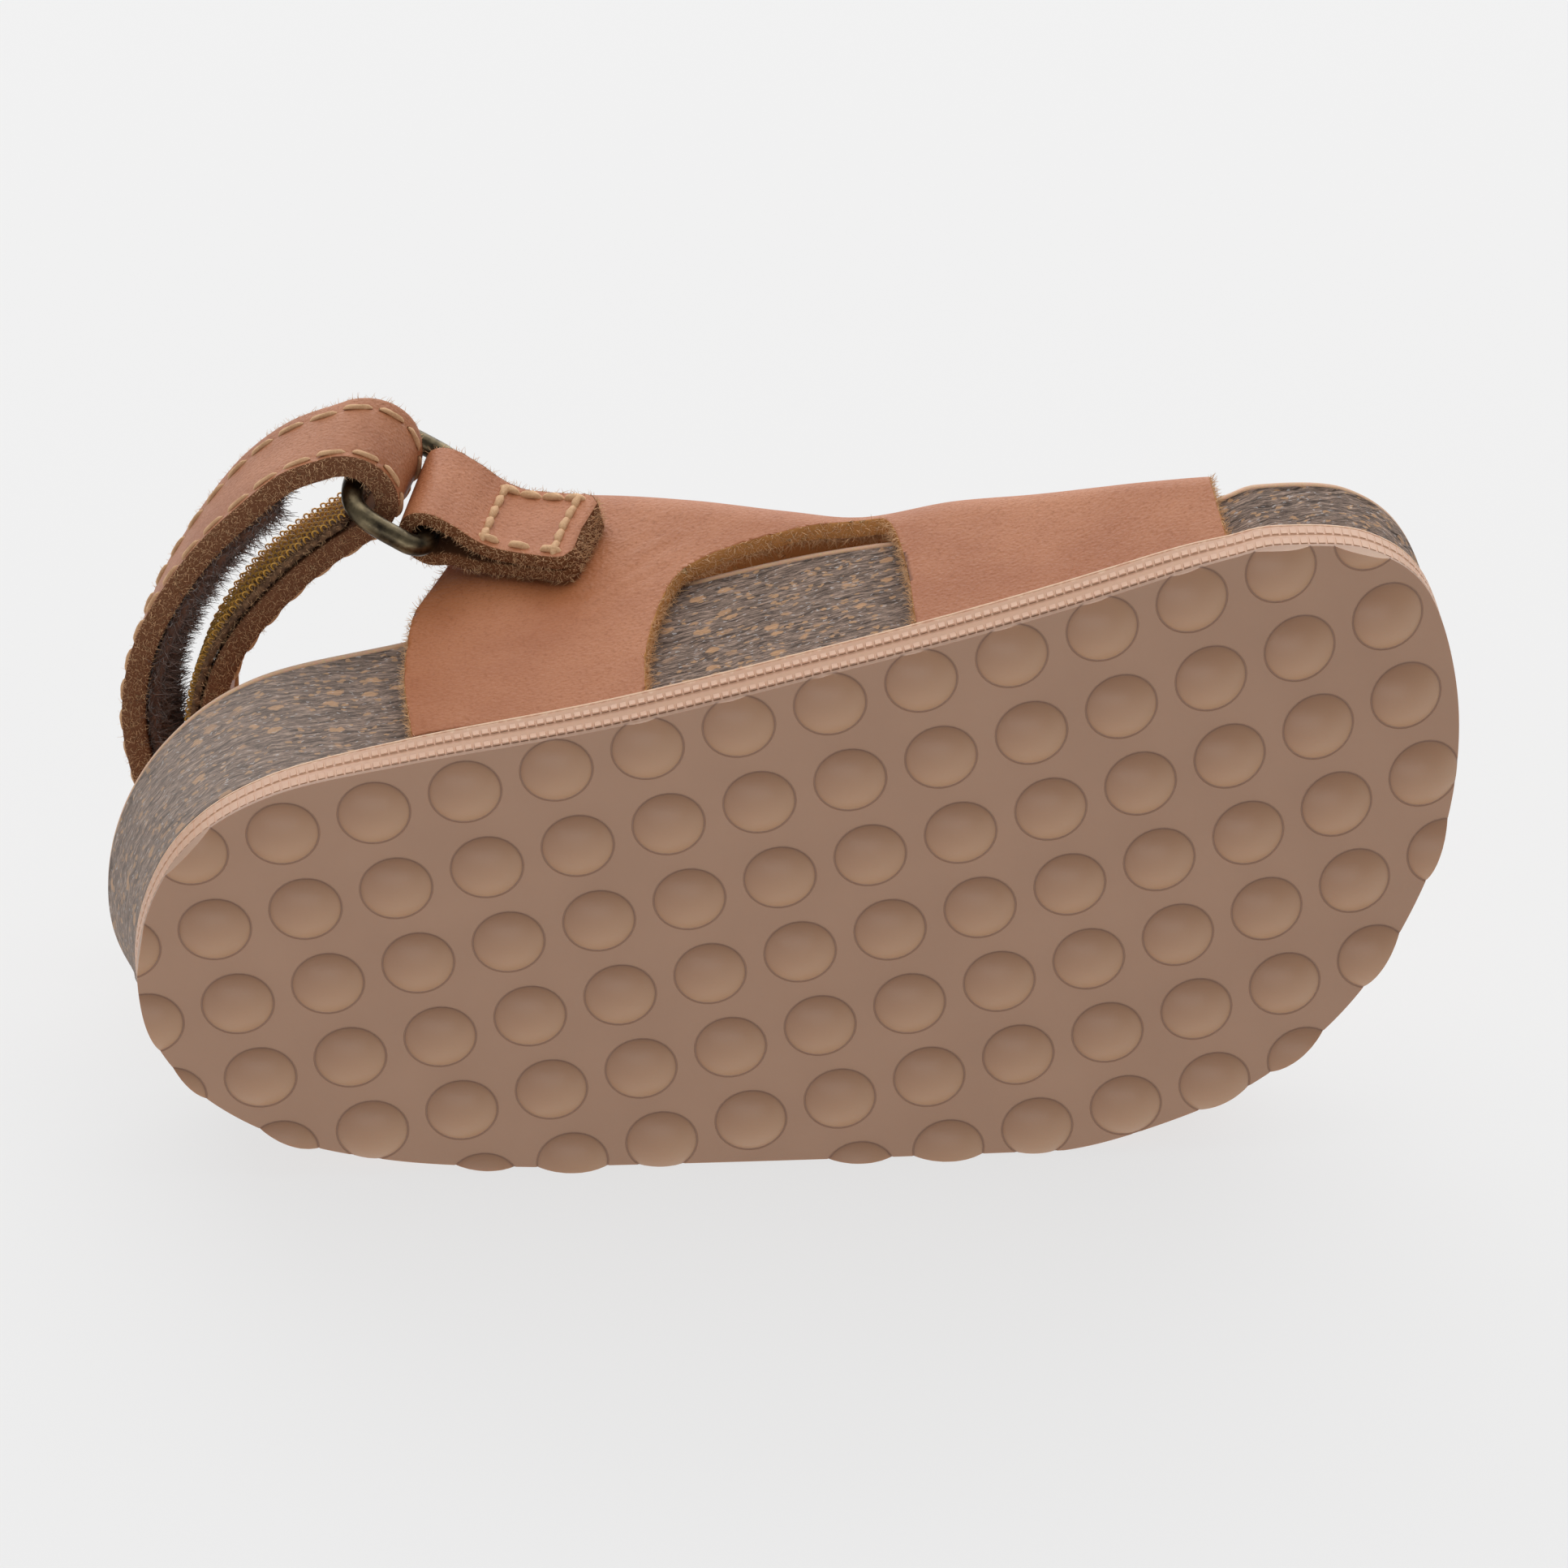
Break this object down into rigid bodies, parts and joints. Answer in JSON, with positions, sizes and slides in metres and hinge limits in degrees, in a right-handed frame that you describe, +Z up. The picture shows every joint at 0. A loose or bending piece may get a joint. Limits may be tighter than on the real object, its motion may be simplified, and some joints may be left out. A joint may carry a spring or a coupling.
{
  "type": "cork footbed sandal",
  "caption": "Small child's left sandal lying on its outer side: cork footbed on a studded rubber outsole, tan leather upper with side windows, heel strap folded back through a ring.",
  "frame": {"origin": "centre of the bounding box on the ground that the sandal lies on", "axes": "+X from the heel to the toes, along the straight run of the outer side that lies on the ground; -Y is the way the tread faces; +Z up, from the outer side of the sandal to its inner side"},
  "size_m": [0.1446, 0.0632, 0.0743],
  "materials": {
    "crepe_rubber": "matt moulded crepe rubber",
    "cork": "ground cork, sealed, matt",
    "suede_lining": "light suede",
    "tan_leather": "smooth tan leather, soft sheen",
    "tab_leather": "smooth tan leather, soft sheen",
    "strap_leather": "smooth tan leather, soft sheen",
    "antique_brass": "dark antique finish",
    "hook_tape": "woven tape with bronze hooks",
    "pile_tape": "brushed dark pile"
  },
  "bodies": {
    "root": {"outsole": "crepe_rubber", "cork_footbed": "cork", "insole": "suede_lining", "upper": "tan_leather", "ring_tab": "tab_leather", "ring": "antique_brass", "heel_strap": "strap_leather", "hook_tape": "hook_tape", "pile_tape": "pile_tape"}
  },
  "joints": []
}
